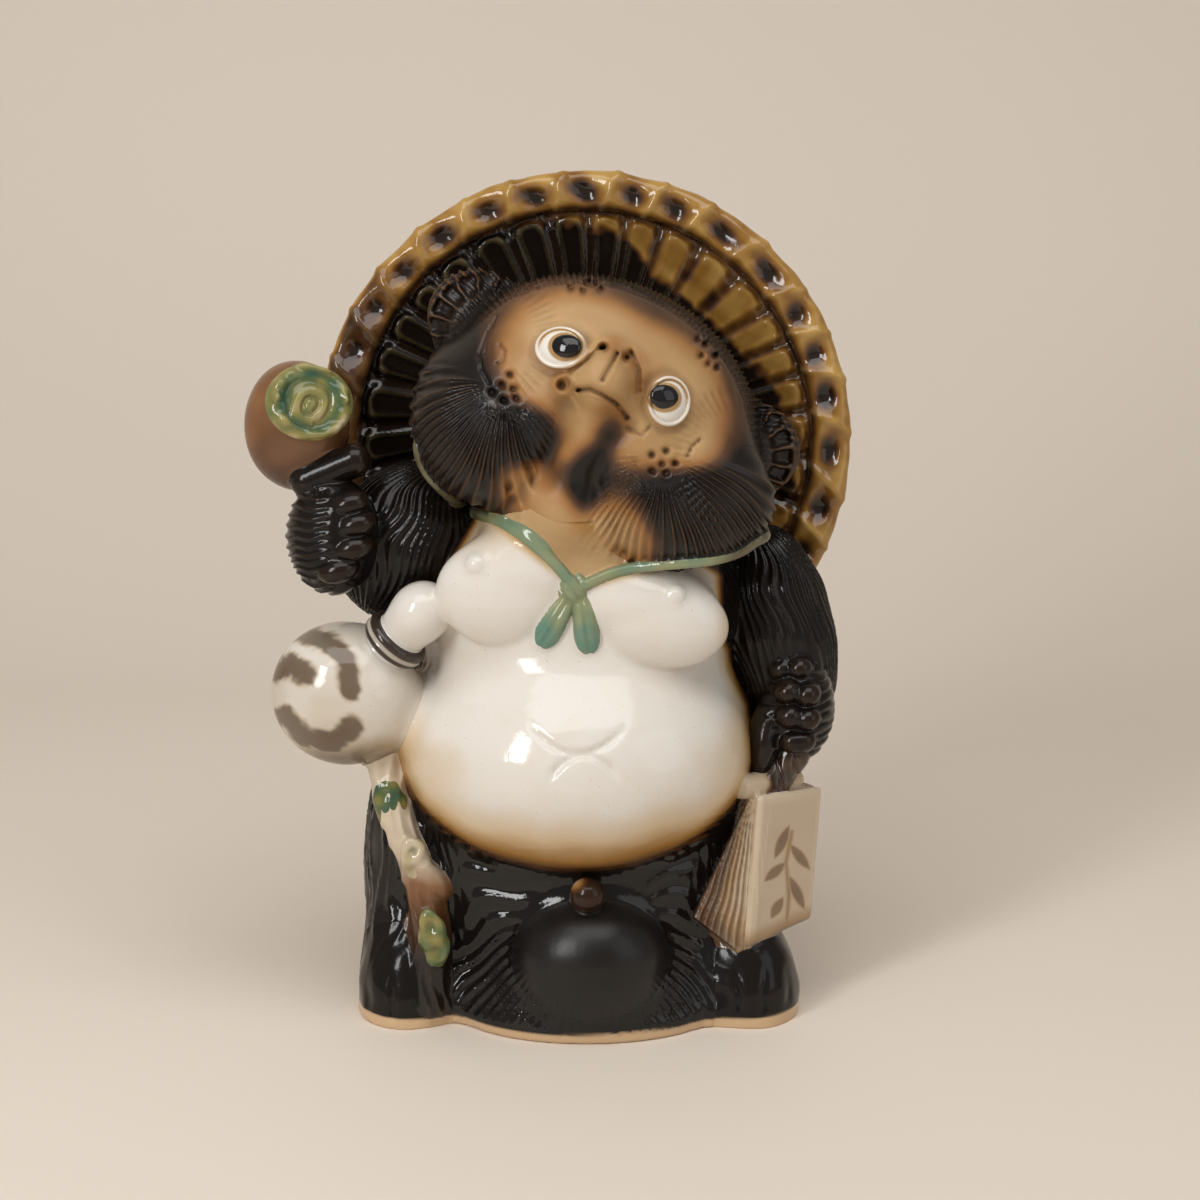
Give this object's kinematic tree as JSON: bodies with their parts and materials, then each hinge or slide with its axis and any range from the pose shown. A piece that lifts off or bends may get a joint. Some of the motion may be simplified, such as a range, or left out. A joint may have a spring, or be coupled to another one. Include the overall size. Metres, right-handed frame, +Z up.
{
  "type": "tanuki statue",
  "caption": "Free-standing glazed stoneware tanuki with a straw hat on its back, a flask and staff in one paw and an account book in the other, hollow and open underneath.",
  "frame": {"origin": "under the middle of the statue's box, on the surface that it stands on", "axes": "+Z up, the figure faces -Y, +X is the figure's own left"},
  "size_m": [0.1814, 0.123, 0.2503],
  "materials": {
    "body_glaze": "cream gloss glaze running to amber and dark brown at the edges",
    "fur_glaze": "brown-black gloss glaze breaking to rust on raised edges",
    "face_stain": "matt tan stain shading to brown-black",
    "hat_glaze": "amber gloss glaze pooling dark brown in the hollows",
    "eye_white": "white gloss glaze",
    "pupil_black": "black gloss glaze",
    "cream_glaze": "cream gloss glaze with brushed brown",
    "cord_glaze": "pale green gloss glaze",
    "flask_cord_glaze": "dark brown gloss glaze",
    "staff_glaze": "brown glaze, satin on the stump",
    "knot_glaze": "green gloss glaze broken with amber",
    "book_glaze": "cream and tan glaze"
  },
  "bodies": {
    "root": {"body_front_shell": "body_glaze", "body_back_shell": "fur_glaze", "raised_arm": "fur_glaze", "raised_paw": "fur_glaze", "lowered_arm": "fur_glaze", "lowered_paw": "fur_glaze", "right_ear": "fur_glaze", "left_ear": "fur_glaze", "right_foot": "fur_glaze", "left_foot": "fur_glaze", "pouch": "fur_glaze", "pouch_knob": "fur_glaze", "tail": "fur_glaze", "head_shell": "face_stain", "muzzle": "face_stain", "right_cheek": "face_stain", "left_cheek": "face_stain", "hat_brim": "hat_glaze", "hat_rim": "hat_glaze", "right_eye_white": "eye_white", "left_eye_white": "eye_white", "right_pupil": "pupil_black", "left_pupil": "pupil_black", "right_nipple": "cream_glaze", "left_nipple": "cream_glaze", "flask_body": "cream_glaze", "flask_neck": "cream_glaze", "chin_cord_right": "cord_glaze", "chin_cord_left": "cord_glaze", "cord_knot": "cord_glaze", "cord_tail_right": "cord_glaze", "cord_tail_left": "cord_glaze", "flask_cord": "flask_cord_glaze", "staff_knob": "staff_glaze", "staff_shaft": "staff_glaze", "staff_cut_end": "knot_glaze", "staff_knot_upper": "knot_glaze", "staff_knot_middle": "knot_glaze", "staff_knot_lower": "knot_glaze", "book_pages": "book_glaze", "book_cover": "book_glaze", "book_hanger": "book_glaze"}
  },
  "joints": []
}
